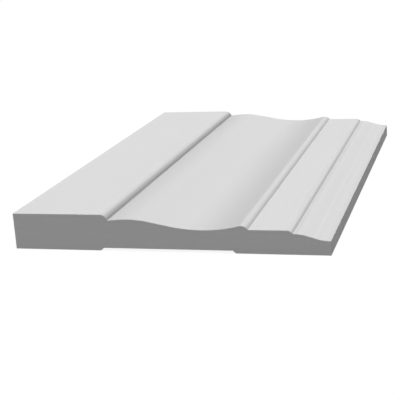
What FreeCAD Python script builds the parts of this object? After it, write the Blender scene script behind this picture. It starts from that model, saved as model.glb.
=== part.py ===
import FreeCAD, Part
import math
import os

# A skirting board length, lying on its back with the moulded face up.
# X runs across the board from the thick edge, which stands on the floor in use, to the thin edge.
# Y runs along the board and Z is up. The origin is the middle of the back, in the wall's plane.
# All lengths are in millimetres.

board_length = 264.0

# Bands across the face, from the thick edge to the thin edge. Together they are the board's width.
plain_band = 51.9
ogee_band = 72.65
middle_band = 22.25
nose_band = 18.3

# Heights from the back up to the plain band. Together they are the board's thickness.
thin_edge_height = 7.29
nose_hollow_rise = 1.43
nose_ramp_rise = 1.83
nose_step = 1.72
plain_band_step = 6.78

# Rounded edge of the plain band, which drops into the first quirk
plain_round_run = 4.1
first_quirk_depth = 3.2

# Ogee: its crest beside the first quirk, a straight ramp, and a hollow that rises to the bead
crest_setback = 10.7
crest_rise = 0.85
crest_share = 0.37
ramp_length = 12.0
hollow_setback = 22.95
hollow_sink = 0.54

# Bead between the ogee and the middle band
bead_radius = 4.3
bead_height = 1.9

# Rounded edge of the middle band, which drops into the third quirk
middle_round_run = 3.2

# Small ogee on the nose: a level fillet, a round, a straight ramp and a hollow up to the thin edge
nose_fillet = 1.3
nose_ramp_length = 4.3
nose_hollow_width = 8.4

# Back: a flat strip along each edge bears on the wall, and the middle is relieved
bearing_strip = 47.2
relief_depth = 1.4
relief_side_angle = 45.0

# Places across the board
board_width = plain_band + ogee_band + middle_band + nose_band
thick_edge_x = -board_width / 2
first_quirk_x = thick_edge_x + plain_band
second_quirk_x = first_quirk_x + ogee_band
third_quirk_x = second_quirk_x + middle_band
thin_edge_x = third_quirk_x + nose_band

# Heights above the back
nose_arris_z = thin_edge_height + nose_hollow_rise
nose_fillet_z = nose_arris_z + nose_ramp_rise
middle_band_z = nose_fillet_z + nose_step
plain_band_z = middle_band_z + plain_band_step

# Ends of the outline's edges that are nearer than this are one point
same_point = 1e-6


def at(x, z):
    """Point of the section, which is drawn in the plane of the near end."""
    return FreeCAD.Vector(x, -board_length / 2, z)


def curve_radius(run, drop, straight=0.0):
    """Radius of an arc that leaves level and gains a run and a drop, with a straight at its end.

    For two arcs that turn opposite ways, with the straight between them, it is the sum of their radii.
    """
    return (run ** 2 + drop ** 2 - straight ** 2) / (2 * drop)


def curve_slope(run, drop, straight=0.0):
    """Angle that such a curve has turned from level where it is steepest."""
    radius = curve_radius(run, drop, straight)
    return math.atan2(run, radius - drop) - math.atan2(straight, radius)


def arc(level_point, radius, start, end):
    """Start, middle and end of an arc, given its level point and the angles turned from there.

    Angles grow towards the thin edge. A round has a positive radius and a hollow a negative one.
    """
    def turned(angle):
        across = abs(radius) * math.sin(angle)
        up = -radius * (1 - math.cos(angle))
        return level_point + FreeCAD.Vector(across, 0, up)
    return turned(start), turned((start + end) / 2), turned(end)


def plain_round():
    """Rounded edge of the plain band, down to the first quirk."""
    level_point = at(first_quirk_x - plain_round_run, plain_band_z)
    radius = curve_radius(plain_round_run, first_quirk_depth)
    return [arc(level_point, radius, 0, curve_slope(plain_round_run, first_quirk_depth))]


def ogee_and_bead():
    """From the first quirk over the crest, down the ramp, through the hollow and over the bead."""
    crest = at(first_quirk_x + crest_setback, plain_band_z - first_quirk_depth + crest_rise)
    hollow = at(second_quirk_x - hollow_setback, middle_band_z - hollow_sink)
    bead_end = math.acos(1 - bead_height / bead_radius)
    bead_top = at(second_quirk_x - bead_radius * math.sin(bead_end), middle_band_z + bead_height)

    crest_start = curve_slope(crest_setback, crest_rise)
    fall = hollow - crest
    fall_radii = curve_radius(fall.x, -fall.z, ramp_length)
    ramp_slope = curve_slope(fall.x, -fall.z, ramp_length)
    rise = bead_top - hollow
    hollow_to_bead_radius = curve_radius(rise.x, rise.z) - bead_radius
    bead_start = curve_slope(rise.x, rise.z)
    return [
        arc(crest, curve_radius(crest_setback, crest_rise), -crest_start, 0),
        arc(crest, fall_radii * crest_share, 0, ramp_slope),
        arc(hollow, -fall_radii * (1 - crest_share), -ramp_slope, 0),
        arc(hollow, -hollow_to_bead_radius, 0, bead_start),
        arc(bead_top, bead_radius, -bead_start, bead_end),
    ]


def middle_round():
    """Rounded edge of the middle band, down to the third quirk."""
    level_point = at(third_quirk_x - middle_round_run, middle_band_z)
    radius = curve_radius(middle_round_run, nose_step)
    return [arc(level_point, radius, 0, curve_slope(middle_round_run, nose_step))]


def nose():
    """Small ogee from the third quirk to the thin edge, with an arris where its hollow starts."""
    round_start = at(third_quirk_x + nose_fillet, nose_fillet_z)
    ramp_run = nose_band - nose_fillet - nose_hollow_width
    round_radius = curve_radius(ramp_run, nose_ramp_rise, nose_ramp_length)
    round_end = curve_slope(ramp_run, nose_ramp_rise, nose_ramp_length)
    edge_corner = at(thin_edge_x, thin_edge_height)
    hollow_radius = curve_radius(nose_hollow_width, nose_hollow_rise)
    hollow_start = curve_slope(nose_hollow_width, nose_hollow_rise)
    return [
        arc(round_start, round_radius, 0, round_end),
        arc(edge_corner, -hollow_radius, -hollow_start, 0),
    ]


def back():
    """Corners of the back from the thin edge to the thick edge, round the shallow relief."""
    relief_run = relief_depth / math.tan(math.radians(relief_side_angle))
    thin_side = thin_edge_x - bearing_strip
    thick_side = thick_edge_x + bearing_strip
    corners = [
        at(thin_edge_x, 0),
        at(thin_side, 0),
        at(thin_side - relief_run, relief_depth),
        at(thick_side + relief_run, relief_depth),
        at(thick_side, 0),
        at(thick_edge_x, 0),
    ]
    return [(corner,) for corner in corners]


def closed_outline(stations):
    """Wire through corners and arcs in their order, with a straight wherever two do not meet."""
    edges = []
    for station, following in zip(stations, stations[1:] + stations[:1]):
        if len(station) > 1:
            edges.append(Part.Arc(*station).toShape())
        if not station[-1].isEqual(following[0], same_point):
            edges.append(Part.makeLine(station[-1], following[0]))
    return Part.Wire(edges)


def moulded_board():
    """The board: one section, the same along the whole length, with both ends sawn square."""
    thick_edge_corner = (at(thick_edge_x, plain_band_z),)
    face = plain_round() + ogee_and_bead() + middle_round() + nose()
    section = closed_outline([thick_edge_corner] + face + back())
    return Part.Face(section).extrude(FreeCAD.Vector(0, board_length, 0))


os.makedirs("parts", exist_ok=True)
moulded_board().exportStep("parts/moulded_board.step")
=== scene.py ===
import math

import bpy
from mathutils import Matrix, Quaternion, Vector


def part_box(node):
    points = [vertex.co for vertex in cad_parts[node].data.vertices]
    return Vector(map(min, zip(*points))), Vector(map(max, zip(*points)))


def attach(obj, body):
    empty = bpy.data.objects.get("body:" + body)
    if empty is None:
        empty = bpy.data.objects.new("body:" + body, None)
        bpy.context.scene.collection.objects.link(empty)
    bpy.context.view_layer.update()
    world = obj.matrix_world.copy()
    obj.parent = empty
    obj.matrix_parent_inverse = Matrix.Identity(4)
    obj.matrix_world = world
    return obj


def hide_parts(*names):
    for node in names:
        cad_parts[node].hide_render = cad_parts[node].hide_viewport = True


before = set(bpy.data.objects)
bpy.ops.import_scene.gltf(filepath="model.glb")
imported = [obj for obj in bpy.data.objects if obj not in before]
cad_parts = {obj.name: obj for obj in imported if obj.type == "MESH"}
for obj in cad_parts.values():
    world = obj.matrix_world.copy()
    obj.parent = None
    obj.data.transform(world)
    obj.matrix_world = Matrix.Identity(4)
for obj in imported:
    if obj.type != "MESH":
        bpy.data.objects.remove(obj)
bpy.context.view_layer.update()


# Moulded board: a length of fibreboard run past shaped knives, which leave a plain band, an ogee with
# a bead, a flat band and a small ogee nose, all of it the same from end to end. The back is relieved
# between two flat strips, and the long arrises are just eased.
board_low, board_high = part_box("moulded_board")
thick_edge_x, thin_edge_x = board_low.x, board_high.x
plain_band_z = board_high.z
board_width = thin_edge_x - thick_edge_x
board_length = board_high.y - board_low.y

# Bands across the face, from the thick edge, and how far the curves at their edges run
plain_band = 0.0519
ogee_band = 0.07265
middle_band = 0.02225
plain_round_run = 0.0041
middle_round_run = 0.0032
nose_hollow_width = 0.0084

# Steps in height
first_quirk_depth = 0.0032
plain_band_step = 0.00678
nose_step = 0.00172
nose_ramp_rise = 0.00183
nose_hollow_rise = 0.00143

# Ogee, bead and nose
crest_setback = 0.0107
crest_rise = 0.00085
crest_share = 0.37
ramp_length = 0.012
hollow_setback = 0.02295
hollow_sink = 0.00054
bead_radius = 0.0043
bead_height = 0.0019
nose_fillet = 0.0013
nose_ramp_length = 0.0043

# Back and long arrises
bearing_strip = 0.0472
relief_depth = 0.0014
relief_turn = math.radians(45)
eased_arris = 0.0001

# Curves are cut into chords that leave them by this much at most. Straights longer than the shortest
# get a support point close to each end, so that shading does not spread along them.
chord_gap = 0.0000004
shortest_straight = 0.001
support_gap = 0.00005
same_point = 0.000001

# Places across the board, from the thick edge
first_quirk_at = plain_band
second_quirk_at = first_quirk_at + ogee_band
third_quirk_at = second_quirk_at + middle_band
plain_round_at = first_quirk_at - plain_round_run
middle_round_at = third_quirk_at - middle_round_run
nose_arris_at = board_width - nose_hollow_width

# Heights above the back
middle_band_z = plain_band_z - plain_band_step
nose_fillet_z = middle_band_z - nose_step
nose_arris_z = nose_fillet_z - nose_ramp_rise
thin_edge_z = nose_arris_z - nose_hollow_rise
crest_z = plain_band_z - first_quirk_depth + crest_rise
hollow_z = middle_band_z - hollow_sink
bead_top_z = middle_band_z + bead_height


def curve_radius(run, drop, straight=0.0):
    """Radius of an arc that leaves level and gains a run and a drop, or the sum of two that turn opposite
    ways with a straight between them.
    """
    return (run ** 2 + drop ** 2 - straight ** 2) / (2 * drop)


def curve_slope(run, drop, straight=0.0):
    """Angle that such a curve has turned from level where it is steepest."""
    radius = curve_radius(run, drop, straight)
    return math.atan2(run, radius - drop) - math.atan2(straight, radius)


def arc(level_x, level_z, radius, start, end):
    """Points of an arc, given its level point and the angles turned from there, growing towards +X.

    The radius is positive where the centre lies below the arc, as on a round of the face, and negative
    where it lies above, as in a hollow.
    """
    turn = 2 * math.acos(1 - chord_gap / abs(radius))
    steps = math.ceil(abs(end - start) / turn)
    angles = [start + (end - start) * step / steps for step in range(steps + 1)]
    return [(level_x + abs(radius) * math.sin(angle), level_z - radius * (1 - math.cos(angle)))
            for angle in angles]


def face_points():
    """Points of the face and both edges, from the thick edge's foot over to the thin edge's foot."""
    plain_round_x = thick_edge_x + plain_round_at
    first_quirk_x = thick_edge_x + first_quirk_at
    second_quirk_x = thick_edge_x + second_quirk_at
    middle_round_x = thick_edge_x + middle_round_at
    third_quirk_x = thick_edge_x + third_quirk_at
    nose_arris_x = thick_edge_x + nose_arris_at
    crest_x = first_quirk_x + crest_setback
    hollow_x = second_quirk_x - hollow_setback
    bead_end = math.acos(1 - bead_height / bead_radius)
    bead_x = second_quirk_x - bead_radius * math.sin(bead_end)
    fillet_x = third_quirk_x + nose_fillet
    quarter = math.pi / 2

    plain = (plain_round_run, first_quirk_depth)
    to_crest = (crest_setback, crest_rise)
    fall = (hollow_x - crest_x, crest_z - hollow_z, ramp_length)
    rise = (bead_x - hollow_x, bead_top_z - hollow_z)
    middle = (middle_round_run, nose_step)
    nose = (nose_arris_x - fillet_x, nose_ramp_rise, nose_ramp_length)
    nose_hollow = (nose_hollow_width, nose_hollow_rise)
    fall_radii = curve_radius(*fall)
    rise_radius = curve_radius(*rise) - bead_radius
    tip_radius = curve_radius(*nose_hollow)
    tip_slope = eased_arris / tip_radius
    return (
        arc(thick_edge_x + eased_arris, 0, -eased_arris, 0, -quarter)
        + arc(thick_edge_x + eased_arris, plain_band_z, eased_arris, -quarter, 0)
        + arc(plain_round_x, plain_band_z, curve_radius(*plain), 0, curve_slope(*plain))
        + arc(crest_x, crest_z, curve_radius(*to_crest), -curve_slope(*to_crest), 0)
        + arc(crest_x, crest_z, fall_radii * crest_share, 0, curve_slope(*fall))
        + arc(hollow_x, hollow_z, -fall_radii * (1 - crest_share), -curve_slope(*fall), 0)
        + arc(hollow_x, hollow_z, -rise_radius, 0, curve_slope(*rise))
        + arc(bead_x, bead_top_z, bead_radius, -curve_slope(*rise), bead_end)
        + arc(middle_round_x, middle_band_z, curve_radius(*middle), 0, curve_slope(*middle))
        + arc(fillet_x, nose_fillet_z, curve_radius(*nose), 0, curve_slope(*nose))
        + arc(thin_edge_x, thin_edge_z, -tip_radius, -curve_slope(*nose_hollow), -tip_slope)
        + arc(thin_edge_x - eased_arris, thin_edge_z, eased_arris, 0, quarter)
        + arc(thin_edge_x - eased_arris, 0, -eased_arris, quarter, 0)
    )


def back_points():
    """Points of the relief in the back, from the thin edge's bearing strip to the thick edge's."""
    turn_in = eased_arris * math.tan(relief_turn / 2)
    relief_run = relief_depth / math.tan(relief_turn)
    thin_strip_x = thin_edge_x - bearing_strip
    thick_strip_x = thick_edge_x + bearing_strip
    return (
        arc(thin_strip_x + turn_in, 0, -eased_arris, 0, -relief_turn)
        + arc(thin_strip_x - relief_run - turn_in, relief_depth, eased_arris, relief_turn, 0)
        + arc(thick_strip_x + relief_run + turn_in, relief_depth, eased_arris, 0, -relief_turn)
        + arc(thick_strip_x - turn_in, 0, -eased_arris, relief_turn, 0)
    )


def closed_section():
    """The whole outline as points, in order round the board."""
    corners = [Vector(point) for point in face_points() + back_points()]
    points = []
    for corner, following in zip(corners, corners[1:] + corners[:1]):
        straight = following - corner
        if straight.length < same_point:
            continue
        points.append(corner)
        if straight.length > shortest_straight:
            gap = straight.normalized() * support_gap
            points += [corner + gap, following - gap]
    return points


def section_mesh():
    """The section as a loop of edges in the plane that the sweep reads, with heights turned downwards."""
    points = closed_section()
    edges = [(i, (i + 1) % len(points)) for i in range(len(points))]
    mesh = bpy.data.meshes.new("section")
    mesh.from_pydata([(point.x, -point.y, 0) for point in points], edges, [])
    return mesh


# Primer: two thin sprayed coats of matt white on the face and edges, and one on the back and ends.
# The face is painted with shade, duller in the ogee than on the sanded flats and the nose. Under it are
# the marks of the knives and of the saw.
primer_grey = 0.76
primer_specular = 0.15

# The round above the first quirk and the ogee beyond it are painted with this tone of shade, which sets
# in over a thin line
ogee_painted_shade = 0.985
cut_line = 0.0001

# Painted shade and highlight across the face: the place, its tone, and how far that fades each way.
# Shade is painted on the flank above each quirk, beside each quirk, on the rise to the bead and on the
# thin edge, and a highlight is painted on the nose arris.
painted_shade_and_highlight = [
    (first_quirk_at - 0.00075, 0.745, 0.0020, 0.0009),
    (first_quirk_at - 0.0002, 0.63, 0.0006, 0.00015),
    (first_quirk_at + 0.0001, 0.908, 0.0002, 0.0019),
    (first_quirk_at, 0.878, 0.0002, 0.0185),
    (second_quirk_at - 0.0052, 0.828, 0.0300, 0.0022),
    (second_quirk_at - 0.0002, 0.79, 0.0018, 0.0002),
    (second_quirk_at + 0.0007, 0.98, 0.0002, 0.0063),
    (third_quirk_at - 0.0005, 0.768, 0.0010, 0.0007),
    (third_quirk_at + 0.0006, 0.901, 0.0004, 0.0028),
    (nose_arris_at, 1.045, 0.0004, 0.0014),
    (board_width, 0.932, 0.0040, 0.0003),
]

# A random pattern keeps mostly between the first two values. A wave turns through the third, in radians,
# over each unit of the place that it reads, and the fourth makes its run a little uneven.
pattern_low = 0.25
pattern_high = 0.75
wave_turn = 20
wave_unevenness = 0.4


def node(tree, kind, inputs=None, **settings):
    """One node with its settings, and its inputs by name or number as values or links."""
    made = tree.nodes.new(kind)
    for setting, value in settings.items():
        setattr(made, setting, value)
    for socket, value in (inputs or {}).items():
        if isinstance(value, bpy.types.NodeSocket):
            tree.links.new(value, made.inputs[socket])
        else:
            made.inputs[socket].default_value = value
    return made


def arithmetic(tree, operation, *values):
    """Result of one step of arithmetic on values or links."""
    return node(tree, "ShaderNodeMath", dict(enumerate(values)), operation=operation).outputs[0]


def times(tree, *factors):
    """Product of several values."""
    product = factors[0]
    for factor in factors[1:]:
        product = arithmetic(tree, "MULTIPLY", product, factor)
    return product


def between(tree, value, start, end, low=0.0, high=1.0, **settings):
    """A value that goes from low to high while another goes from start to end, and no further."""
    return node(tree, "ShaderNodeMapRange", {"Value": value, "From Min": start, "From Max": end,
                                             "To Min": low, "To Max": high}, **settings).outputs[0]


def finish(name, roughness):
    """A new finish with its shader and the place on the board that its patterns read."""
    material = bpy.data.materials.new(name)
    material.use_nodes = True
    tree = material.node_tree
    shader = tree.nodes["Principled BSDF"]
    shader.inputs["Roughness"].default_value = roughness
    shader.inputs["Specular IOR Level"].default_value = primer_specular
    place = node(tree, "ShaderNodeTexCoord").outputs["Object"]
    return material, tree, shader, place


def stretched(tree, place, scale, location=(0, 0, 0)):
    """The place on the board, scaled to the size of a pattern along each axis."""
    return node(tree, "ShaderNodeMapping", {"Vector": place, "Location": location,
                                            "Scale": scale}).outputs[0]


def mottle(tree, place, grain, detail):
    """Soft random pattern, about 0.5 all over, with its grain in spots a metre along each axis."""
    return node(tree, "ShaderNodeTexNoise", {"Vector": stretched(tree, place, grain), "Scale": 1.0,
                                             "Detail": detail}).outputs["Fac"]


def waves(tree, place, pitch, **settings):
    """Ripples of a given pitch."""
    scale = 2 * math.pi / wave_turn / pitch
    return node(tree, "ShaderNodeTexWave", {"Vector": place, "Scale": scale, "Detail": 1.0,
                                            "Distortion": wave_unevenness}, **settings).outputs["Fac"]


def around_one(tree, pattern, swing):
    """A pattern turned into a factor that stays within a swing of 1."""
    return between(tree, pattern, pattern_low, pattern_high, 1 - swing, 1 + swing)


def relief(tree, marks):
    """Surface relief from marks, each a height pattern and its depth in metres, one over the other."""
    normal = None
    for height, depth in marks:
        inputs = {"Height": height, "Distance": depth}
        if normal:
            inputs["Normal"] = normal
        normal = node(tree, "ShaderNodeBump", inputs).outputs[0]
    return normal


def lay_on(tree, shader, grey, roughness, marks):
    """Gives a finish its grey, its roughness and the relief of its marks."""
    tree.links.new(grey, shader.inputs["Base Color"])
    tree.links.new(roughness, shader.inputs["Roughness"])
    tree.links.new(relief(tree, marks), shader.inputs["Normal"])


def painted_light_across(tree, place):
    """How bright the primer is painted across the face, as a factor, with painted shade and a painted
    highlight.
    """
    x = node(tree, "ShaderNodeSeparateXYZ", {"Vector": place}).outputs["X"]
    across = arithmetic(tree, "SUBTRACT", x, thick_edge_x)
    tones = []
    for at, change in ((plain_round_at, ogee_painted_shade), (second_quirk_at, 1 / ogee_painted_shade)):
        tones.append(between(tree, across, at, at + cut_line, 1.0, change))
    for at, change, before, beyond in painted_shade_and_highlight:
        nearing = between(tree, across, at - before, at, interpolation_type="SMOOTHSTEP")
        leaving = between(tree, across, at, at + beyond, 1.0, 0.0, interpolation_type="SMOOTHSTEP")
        tones.append(between(tree, times(tree, nearing, leaving), 0.0, 1.0, 1.0, change))
    return times(tree, *tones)


# Face and edges: a cloudy coat with the stipple of the spray gun, over raised fibres, the lines that the
# knives draw lengthwise and the ripples that they beat across. The values give each pattern's grain or
# pitch, how far it swings the grey or the roughness, and its depth.
face_roughness = 0.86
face_cloud_grain = (30, 12, 30)
face_cloud_swing = 0.008
stipple_grain = (900, 900, 900)
stipple_swing = 0.012
stipple_roughness_swing = 0.08
stipple_depth = 0.000024
fibre_grain = (2600, 240, 2600)
fibre_swing = 0.010
fibre_depth = 0.000008
knife_line_grain = (1900, 2, 1900)
knife_line_swing = 0.010
knife_line_depth = 0.000014
knife_ripple_pitch = 0.0017
knife_ripple_depth = 0.000004


def primed_face():
    """Sprayed primer on the moulded face and the two edges, over the marks that the knives left."""
    material, tree, shader, place = finish("primed_face", face_roughness)
    cloud = mottle(tree, place, face_cloud_grain, detail=2)
    stipple = mottle(tree, place, stipple_grain, detail=3)
    fibres = mottle(tree, place, fibre_grain, detail=2)
    knife_lines = mottle(tree, place, knife_line_grain, detail=4)
    lengthwise = stretched(tree, place, (0, 1, 0))
    knife_ripples = waves(tree, lengthwise, knife_ripple_pitch, wave_type="BANDS", bands_direction="Y")
    # The grey carries the painted shade and the painted highlight across the face
    grey = times(tree, painted_light_across(tree, place), primer_grey,
                 around_one(tree, cloud, face_cloud_swing), around_one(tree, stipple, stipple_swing),
                 around_one(tree, fibres, fibre_swing), around_one(tree, knife_lines, knife_line_swing))
    roughness = times(tree, around_one(tree, stipple, stipple_roughness_swing), face_roughness)
    marks = [(knife_lines, knife_line_depth), (knife_ripples, knife_ripple_depth),
             (fibres, fibre_depth), (stipple, stipple_depth)]
    lay_on(tree, shader, grey, roughness, marks)
    return material


# Ends: felted fibres in faint layers, crossed by the arcs of a circular saw that bites here and there
end_roughness = 0.8
saw_centre = (0.03, 0, -0.115)
saw_mark_pitch = 0.0011
saw_mark_swing = 0.006
saw_mark_depth = 0.000012
saw_bite_grain = (40, 40, 90)
end_felt_grain = (1700, 1700, 2600)
end_felt_swing = 0.022
end_felt_roughness_swing = 0.1
end_felt_depth = 0.000035
end_layer_grain = (55, 55, 700)
end_layer_swing = 0.014
end_layer_depth = 0.000010


def sawn_end():
    """Primed saw cut on both ends of the board."""
    material, tree, shader, place = finish("sawn_end", end_roughness)
    from_saw_centre = stretched(tree, place, (1, 0, 1), location=[-c for c in saw_centre])
    arcs = waves(tree, from_saw_centre, saw_mark_pitch, wave_type="RINGS", rings_direction="SPHERICAL")
    bite = mottle(tree, place, saw_bite_grain, detail=2)
    felt = mottle(tree, place, end_felt_grain, detail=4)
    layers = mottle(tree, place, end_layer_grain, detail=3)
    saw_marks = times(tree, arcs, bite)
    grey = times(tree, primer_grey, around_one(tree, felt, end_felt_swing),
                 around_one(tree, layers, end_layer_swing), around_one(tree, saw_marks, saw_mark_swing))
    roughness = times(tree, around_one(tree, felt, end_felt_roughness_swing), end_roughness)
    marks = [(saw_marks, saw_mark_depth), (layers, end_layer_depth), (felt, end_felt_depth)]
    lay_on(tree, shader, grey, roughness, marks)
    return material


# Back: a single thin coat, which lets the mottle of the board and the lines of the feed rollers show
back_roughness = 0.85
back_cloud_grain = (45, 14, 45)
back_cloud_swing = 0.05
back_felt_grain = (1100, 500, 1100)
back_felt_swing = 0.035
back_felt_roughness_swing = 0.08
back_felt_depth = 0.000035
feed_line_grain = (900, 2, 900)
feed_line_swing = 0.025
feed_line_depth = 0.000020


def primed_back():
    """Thinner primer on the back, over felted fibres and the lines that the feed rollers left."""
    material, tree, shader, place = finish("primed_back", back_roughness)
    cloud = mottle(tree, place, back_cloud_grain, detail=4)
    felt = mottle(tree, place, back_felt_grain, detail=4)
    feed_lines = mottle(tree, place, feed_line_grain, detail=3)
    grey = times(tree, primer_grey, around_one(tree, cloud, back_cloud_swing),
                 around_one(tree, felt, back_felt_swing), around_one(tree, feed_lines, feed_line_swing))
    roughness = times(tree, around_one(tree, felt, back_felt_roughness_swing), back_roughness)
    lay_on(tree, shader, grey, roughness, [(feed_lines, feed_line_depth), (felt, back_felt_depth)])
    return material


# The finished piece: the section run out from end to end, the ends sawn square, the finishes laid on
# and the sawn edges rubbed down. It stands for the plain solid board and rides with it.
lengthwise_steps = 8
rubbed_end_edge = 0.00005
sharp_turn = math.radians(30)

# A side belongs to an end or to the back where its normal goes further than this in that direction
facing = 0.5


def run_through_moulder(face, end, back):
    """Geometry tree that sweeps the section along the board and gives each side its finish."""
    tree = bpy.data.node_groups.new("moulding_run", "GeometryNodeTree")
    sockets = tree.interface
    sockets.new_socket("Section", in_out="INPUT", socket_type="NodeSocketGeometry")
    sockets.new_socket("Length", in_out="INPUT", socket_type="NodeSocketFloat")
    sockets.new_socket("Lengthwise Steps", in_out="INPUT", socket_type="NodeSocketInt")
    sockets.new_socket("Board", in_out="OUTPUT", socket_type="NodeSocketGeometry")
    given = node(tree, "NodeGroupInput").outputs
    section = node(tree, "GeometryNodeMeshToCurve", {"Mesh": given["Section"]}).outputs[0]
    half = times(tree, given["Length"], 0.5)
    minus_half = times(tree, half, -1.0)
    near = node(tree, "ShaderNodeCombineXYZ", {"Y": minus_half}).outputs[0]
    far = node(tree, "ShaderNodeCombineXYZ", {"Y": half}).outputs[0]
    path = node(tree, "GeometryNodeCurvePrimitiveLine", {"Start": near, "End": far}).outputs[0]
    rings = arithmetic(tree, "ADD", given["Lengthwise Steps"], 1.0)
    stepped = node(tree, "GeometryNodeResampleCurve", {"Curve": path, "Count": rings}).outputs[0]
    swept = node(tree, "GeometryNodeCurveToMesh", {"Curve": stepped, "Profile Curve": section,
                                                   "Fill Caps": True}).outputs[0]
    normal = node(tree, "GeometryNodeInputNormal").outputs[0]
    turned = node(tree, "ShaderNodeSeparateXYZ", {"Vector": normal}).outputs
    lengthwise = arithmetic(tree, "ABSOLUTE", turned["Y"])
    at_end = node(tree, "FunctionNodeCompare", {"A": lengthwise, "B": facing}, operation="GREATER_THAN")
    at_back = node(tree, "FunctionNodeCompare", {"A": turned["Z"], "B": -facing}, operation="LESS_THAN")
    made = node(tree, "GeometryNodeRealizeInstances", {"Geometry": swept}).outputs[0]
    dressed = node(tree, "GeometryNodeSetMaterial", {"Geometry": made, "Material": face}).outputs[0]
    for side, material in ((at_end, end), (at_back, back)):
        dressed = node(tree, "GeometryNodeSetMaterial", {"Geometry": dressed, "Material": material,
                                                         "Selection": side.outputs[0]}).outputs[0]
    node(tree, "NodeGroupOutput", {0: dressed})
    return tree


def new_object(name, data):
    """A new object in the scene."""
    made = bpy.data.objects.new(name, data)
    bpy.context.scene.collection.objects.link(made)
    return made


def as_mesh(piece):
    """Turns a piece with its modifiers into a plain mesh."""
    seen = piece.evaluated_get(bpy.context.evaluated_depsgraph_get())
    mesh = bpy.data.meshes.new_from_object(seen)
    piece.modifiers.clear()
    piece.data = mesh


def sweep_board():
    """The swept board as a plain mesh with its three finishes."""
    piece = new_object("primed_moulding", section_mesh())
    tree = run_through_moulder(primed_face(), sawn_end(), primed_back())
    sweep = piece.modifiers.new("moulding_run", "NODES")
    sweep.node_group = tree
    given = {item.name: item.identifier for item in tree.interface.items_tree if item.in_out == "INPUT"}
    sweep[given["Length"]] = board_length
    sweep[given["Lengthwise Steps"]] = lengthwise_steps
    as_mesh(piece)
    return piece


def rub_end_edges(piece):
    """Breaks the sharp edge all round both sawn ends, and keeps quirks and arrises crisp to the eye."""
    mesh = piece.data
    ends = {key for face in mesh.polygons if abs(face.normal.y) > facing for key in face.edge_keys}
    weights = mesh.attributes.new("bevel_weight_edge", "FLOAT", "EDGE")
    weights.data.foreach_set("value", [float(edge.key in ends) for edge in mesh.edges])
    rub = piece.modifiers.new("rubbed", "BEVEL")
    rub.limit_method = "WEIGHT"
    rub.width = rubbed_end_edge
    rub.segments = 1
    rub.material = mesh.materials.find("primed_face")
    as_mesh(piece)
    piece.data.shade_smooth()
    piece.data.set_sharp_from_angle(angle=sharp_turn)


moulding = sweep_board()
rub_end_edges(moulding)
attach(moulding, "root")
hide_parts("moulded_board")


# Studio floor: a plain pale sheet just under the board. It is white to the eye with the board's shadow
# kept on it, and it is seen through from below, so that the back of the board can be looked at.
floor_size = 8.0
floor_drop = 0.0001
floor_grey = 0.35
seen_glow = 0.88
seen_grey = 0.14
under_board = 0.006


def white_to_the_eye(tree):
    """1 where the eye looks, straight, in a reflection or through glass, and 0 for light that spreads."""
    path = node(tree, "ShaderNodeLightPath").outputs
    seen = arithmetic(tree, "MAXIMUM", path["Is Camera Ray"], path["Is Glossy Ray"])
    return arithmetic(tree, "MAXIMUM", seen, path["Is Transmission Ray"])


def see_through(tree, shader):
    """Opens the floor to a view from below, and to the light that spreads onto the board's back."""
    path = node(tree, "ShaderNodeLightPath").outputs
    short = arithmetic(tree, "LESS_THAN", path["Ray Length"], under_board)
    onto_back = times(tree, path["Is Diffuse Ray"], short)
    behind = node(tree, "ShaderNodeNewGeometry").outputs["Backfacing"]
    opened = arithmetic(tree, "MAXIMUM", onto_back, behind)
    clear = node(tree, "ShaderNodeBsdfTransparent").outputs[0]
    mixed = node(tree, "ShaderNodeMixShader", {0: opened, 1: shader.outputs[0], 2: clear}).outputs[0]
    tree.links.new(mixed, tree.nodes["Material Output"].inputs["Surface"])


def studio_floor():
    """Pale floor whose shade of white is set for the eye alone."""
    mesh = bpy.data.meshes.new("studio_floor")
    half = floor_size / 2
    corners = [(-half, -half), (half, -half), (half, half), (-half, half)]
    mesh.from_pydata([(x, y, -floor_drop) for x, y in corners], [], [(0, 1, 2, 3)])
    floor = new_object("studio_floor", mesh)
    material = bpy.data.materials.new("studio_floor")
    material.use_nodes = True
    tree = material.node_tree
    shader = tree.nodes["Principled BSDF"]
    shader.inputs["Roughness"].default_value = 1.0
    shader.inputs["Specular IOR Level"].default_value = 0.0
    shader.inputs["Emission Color"].default_value = (1, 1, 1, 1)
    eye = white_to_the_eye(tree)
    grey = between(tree, eye, 0.0, 1.0, floor_grey, seen_grey)
    glow = between(tree, eye, 0.0, 1.0, 0.0, seen_glow)
    tree.links.new(grey, shader.inputs["Base Color"])
    tree.links.new(glow, shader.inputs["Emission Strength"])
    see_through(tree, shader)
    mesh.materials.append(material)
    return floor


studio_floor()


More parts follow.
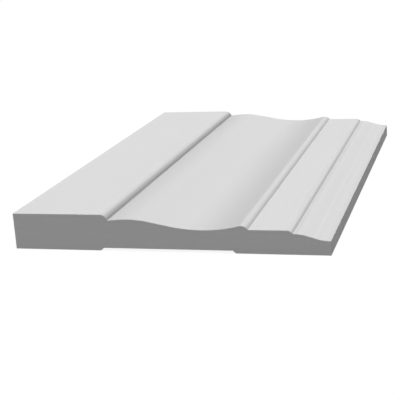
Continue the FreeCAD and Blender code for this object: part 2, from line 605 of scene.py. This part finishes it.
# Studio light: one wide soft light almost overhead, leaning to the thin edge and the near end, a weak
# low one on the two sides that it leaves dark, and an even light from the room, faint from above and
# stronger from the floor.
key_strength = 2.73
key_from = Vector((0.11, -0.158, 1.0))
key_spread = math.radians(35)
fill_strength = 0.5
fill_from = Vector((-0.6, 1.25, 0.4))
fill_spread = math.radians(60)
room_light = 0.025
light_from_floor = 0.31


def distant_light(name, strength, place, spread):
    """Wide soft light from one side of the room."""
    lamp = new_object(name, bpy.data.lights.new(name, "SUN"))
    lamp.data.energy = strength
    lamp.data.angle = spread
    lamp.rotation_mode = "QUATERNION"
    lamp.rotation_quaternion = place.to_track_quat("Z", "Y")


def room():
    """The room round the board: white to the eye, and dim as a light, less so from below."""
    world = bpy.data.worlds.new("room")
    bpy.context.scene.world = world
    world.use_nodes = True
    tree = world.node_tree
    direction = node(tree, "ShaderNodeTexCoord").outputs["Generated"]
    height = node(tree, "ShaderNodeSeparateXYZ", {"Vector": direction}).outputs["Z"]
    below = arithmetic(tree, "LESS_THAN", height, 0.0)
    dim = between(tree, below, 0.0, 1.0, room_light, light_from_floor)
    level = arithmetic(tree, "MAXIMUM", dim, white_to_the_eye(tree))
    background = tree.nodes["Background"]
    background.inputs["Color"].default_value = (1, 1, 1, 1)
    tree.links.new(level, background.inputs["Strength"])


distant_light("overhead_light", key_strength, key_from, key_spread)
distant_light("low_light", fill_strength, fill_from, fill_spread)
room()
bpy.context.scene.view_settings.view_transform = "Standard"


# Camera: a long lens close above the near end, a little to the thin edge's side and slightly rolled. It
# looks along the board, so that the sawn end and the whole face show.
camera_place = Vector((0.15904, -0.60354, 0.16375))
camera_aim = Vector((-0.01725, -0.01023, -0.00803))
camera_roll = math.radians(-4.051)
camera_view = math.radians(21.677)
nearest_seen = 0.01
farthest_seen = 50.0

camera = new_object("camera", bpy.data.cameras.new("camera"))
camera.data.angle = camera_view
camera.data.clip_start = nearest_seen
camera.data.clip_end = farthest_seen
camera.location = camera_place
camera.rotation_mode = "QUATERNION"
camera.rotation_quaternion = ((camera_aim - camera_place).to_track_quat("-Z", "Y")
                              @ Quaternion((0, 0, 1), camera_roll))
bpy.context.scene.camera = camera
